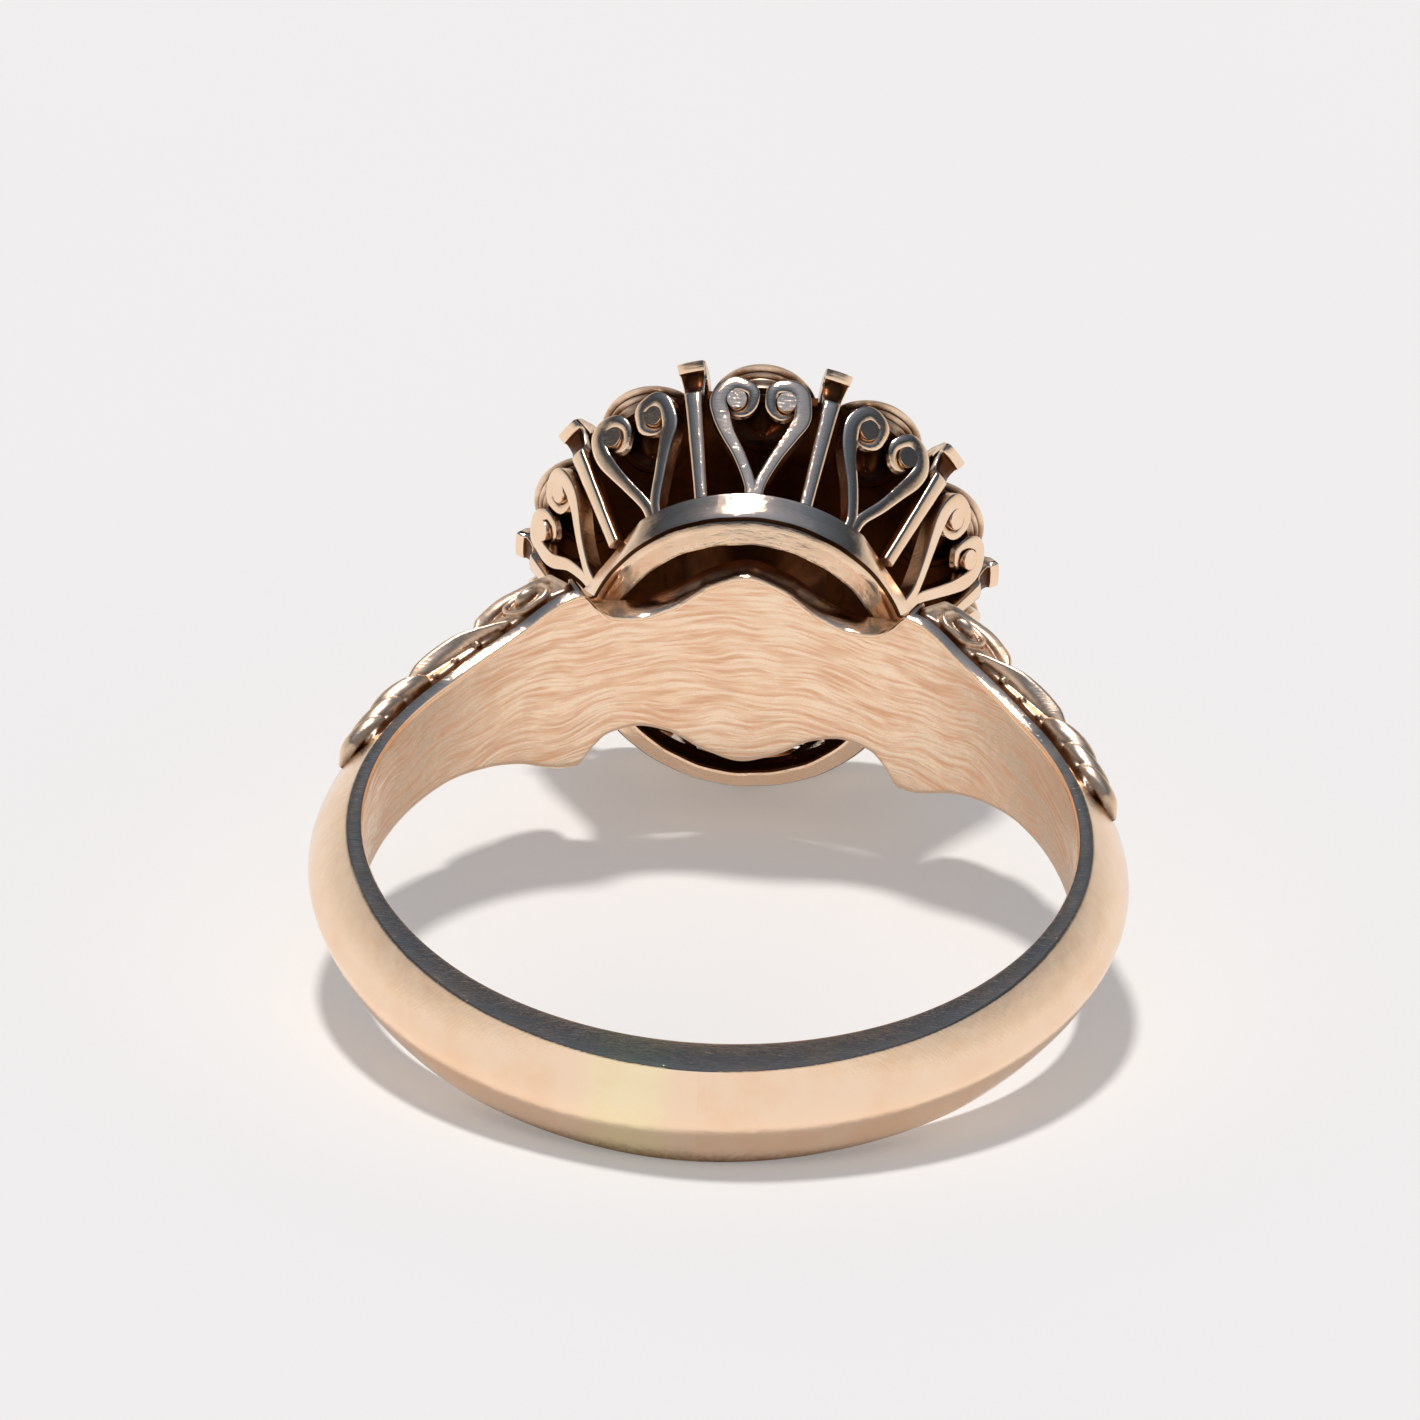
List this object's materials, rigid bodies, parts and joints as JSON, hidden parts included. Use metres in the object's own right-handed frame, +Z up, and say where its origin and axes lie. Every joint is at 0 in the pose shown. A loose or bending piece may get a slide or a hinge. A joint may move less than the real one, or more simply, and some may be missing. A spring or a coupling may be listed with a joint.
{
  "type": "cluster engagement ring",
  "caption": "Rose gold cluster ring with carved scroll shoulders, an openwork gallery of hearts and claws, and a centre stone within a circle of smaller stones.",
  "frame": {"origin": "on the ground, in the middle of the lying ring's outline box", "axes": "+X across the band, +Y from the back of the shank towards the stones, +Z up from the ground; the ring lies on its side"},
  "size_m": [0.02, 0.025, 0.0116],
  "materials": {
    "rose_gold": "polished, lightly worn",
    "yellow_gold": "polished, lightly worn",
    "diamond": "old-cut, faceted and clear"
  },
  "bodies": {
    "root": {"bead_claw_01": "rose_gold", "bead_claw_02": "rose_gold", "bead_claw_03": "rose_gold", "bead_claw_04": "rose_gold", "bead_claw_05": "rose_gold", "bead_claw_06": "rose_gold", "bead_claw_07": "rose_gold", "bead_claw_08": "rose_gold", "bead_claw_09": "rose_gold", "bead_claw_10": "rose_gold", "centre_collet": "rose_gold", "centre_stone": "diamond", "claw_01": "rose_gold", "claw_02": "rose_gold", "claw_03": "rose_gold", "claw_04": "rose_gold", "claw_05": "rose_gold", "claw_06": "rose_gold", "claw_07": "rose_gold", "claw_08": "rose_gold", "claw_09": "rose_gold", "claw_10": "rose_gold", "collar": "rose_gold", "gallery_plate": "rose_gold", "heart_scroll_01": "rose_gold", "heart_scroll_02": "rose_gold", "heart_scroll_03": "rose_gold", "heart_scroll_04": "rose_gold", "heart_scroll_05": "rose_gold", "heart_scroll_06": "rose_gold", "heart_scroll_07": "rose_gold", "heart_scroll_08": "rose_gold", "heart_scroll_09": "rose_gold", "heart_scroll_10": "rose_gold", "shank": "rose_gold", "sizing_insert": "yellow_gold", "small_collet_01": "rose_gold", "small_collet_02": "rose_gold", "small_collet_03": "rose_gold", "small_collet_04": "rose_gold", "small_collet_05": "rose_gold", "small_collet_06": "rose_gold", "small_collet_07": "rose_gold", "small_collet_08": "rose_gold", "small_collet_09": "rose_gold", "small_collet_10": "rose_gold", "small_stone_01": "diamond", "small_stone_02": "diamond", "small_stone_03": "diamond", "small_stone_04": "diamond", "small_stone_05": "diamond", "small_stone_06": "diamond", "small_stone_07": "diamond", "small_stone_08": "diamond", "small_stone_09": "diamond", "small_stone_10": "diamond"}
  },
  "joints": []
}
